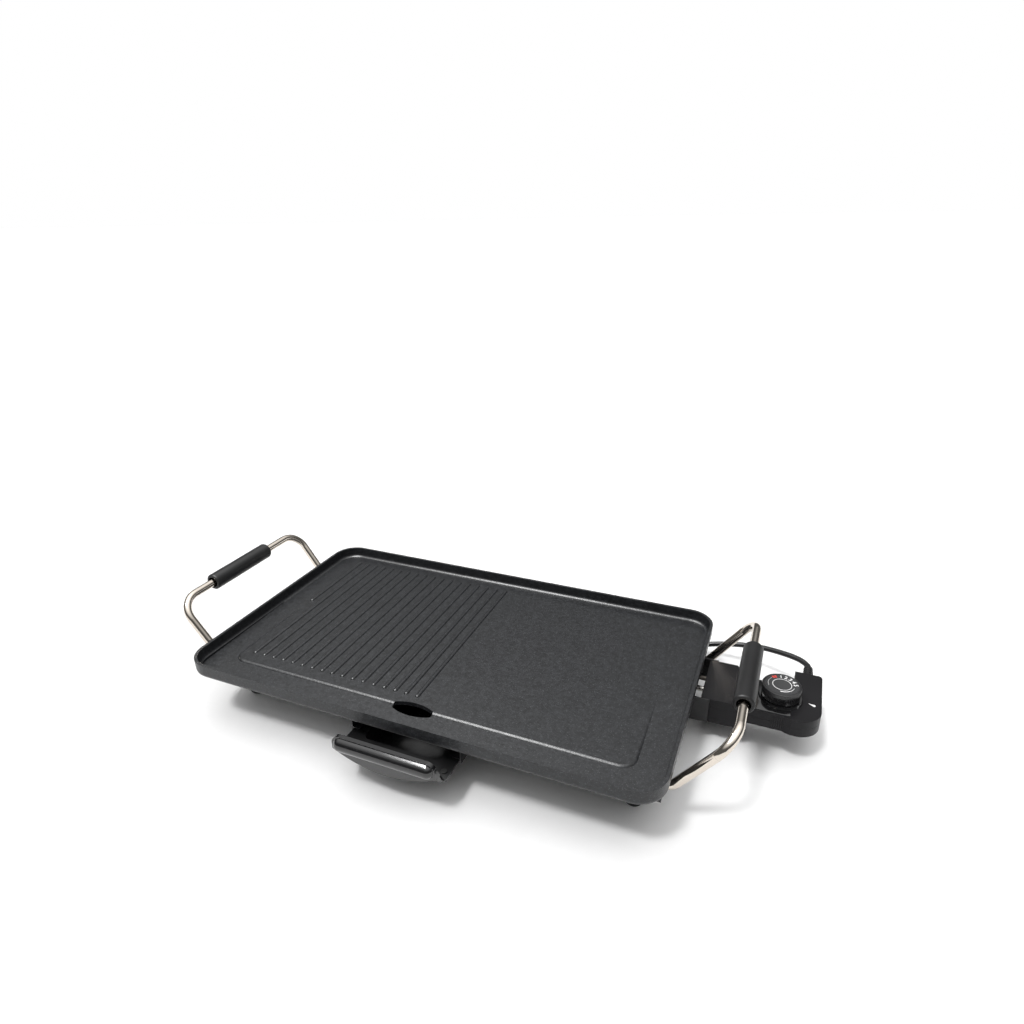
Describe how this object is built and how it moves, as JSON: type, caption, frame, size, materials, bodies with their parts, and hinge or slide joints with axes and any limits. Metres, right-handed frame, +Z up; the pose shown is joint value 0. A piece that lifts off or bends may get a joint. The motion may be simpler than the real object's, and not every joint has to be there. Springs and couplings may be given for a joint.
{
  "type": "electric griddle",
  "caption": "Long cast table griddle, part ribbed and part flat, with wire handles, a pull-out drip tray and a plug-in thermostat control on a cord.",
  "frame": {"origin": "under the middle of the cooking plate, on the plane of the four feet", "axes": "+X along the plate towards the thermostat control, -Y towards the drip tray's handle, +Z up"},
  "size_m": [0.6433, 0.3927, 0.1079],
  "materials": {
    "nonstick_coating": "fine textured dark non-stick coating on cast aluminium",
    "leg_plastic": "matt black heat-resistant plastic",
    "foot_rubber": "matt black rubber",
    "handle_chrome": "polished nickel-chrome plate with a warm tint",
    "grip_plastic": "fine matt black",
    "zinc_steel": "bright zinc plate",
    "element_steel": "dull oxidised steel sheath",
    "pin_metal": "bright nickel-plated steel",
    "ceramic": "off-white ceramic",
    "guard_metal": "matt black paint",
    "tray_metal": "satin black non-stick paint",
    "rivet_metal": "blackened steel",
    "tray_handle_plastic": "glossy black phenolic",
    "control_plastic": "fine matt black",
    "bezel_plastic": "glossy black",
    "knob_plastic": "satin black",
    "dial_print": "matt dark grey disc with pale rings and marks",
    "switch_body": "tan moulded insulation",
    "contact_metal": "bright brass",
    "lead_insulation": "satin silicone insulation",
    "cord_jacket": "satin black flexible jacket",
    "tie_plastic": "matt black"
  },
  "bodies": {
    "griddle": {"griddle_plate": "nonstick_coating", "legs": "leg_plastic", "leg_screws": "zinc_steel", "foot_pads": "foot_rubber", "handle_rod_left": "handle_chrome", "handle_rod_right": "handle_chrome", "grip_left": "grip_plastic", "grip_right": "grip_plastic", "rod_clamps": "zinc_steel", "clamp_screws": "zinc_steel", "heating_element": "element_steel", "element_clips": "zinc_steel", "clip_screws": "zinc_steel", "terminal_pins": "pin_metal", "terminal_seals": "ceramic", "terminal_guard": "guard_metal", "guard_screws": "zinc_steel", "tray_rail_left": "zinc_steel", "tray_rail_right": "zinc_steel", "rail_screws": "zinc_steel"},
    "tray": {"drip_tray": "tray_metal", "tray_handle": "tray_handle_plastic", "tray_rivets": "rivet_metal"},
    "control": {"control_top_cover": "control_plastic", "control_bottom_cover": "control_plastic", "control_screws": "zinc_steel", "knob_bezel": "bezel_plastic", "thermostat_switch": "switch_body", "contact_sockets": "contact_metal", "temperature_probe": "pin_metal", "inner_leads": "lead_insulation", "strain_relief": "cord_jacket", "power_cord": "cord_jacket", "cord_coil": "cord_jacket", "cord_tail": "cord_jacket", "cord_tie": "tie_plastic", "plug_body": "cord_jacket", "plug_blades": "pin_metal"},
    "knob": {"control_knob": "knob_plastic", "dial_disc": "dial_print", "knob_shaft": "pin_metal"}
  },
  "joints": [
    {"name": "tray_pull", "type": "slide", "parent": "griddle", "child": "tray", "axis": [0, -1, 0], "range_m": [0, 0.125]},
    {"name": "control_unplug", "type": "slide", "parent": "griddle", "child": "control", "axis": [1, 0, 0], "range_m": [0, 0.09]},
    {"name": "knob_turn", "type": "hinge", "parent": "control", "child": "knob", "pos_m": [0.3135, 0.045, 0.048], "axis": [0, 0, -1], "range_deg": [0, 270]}
  ]
}
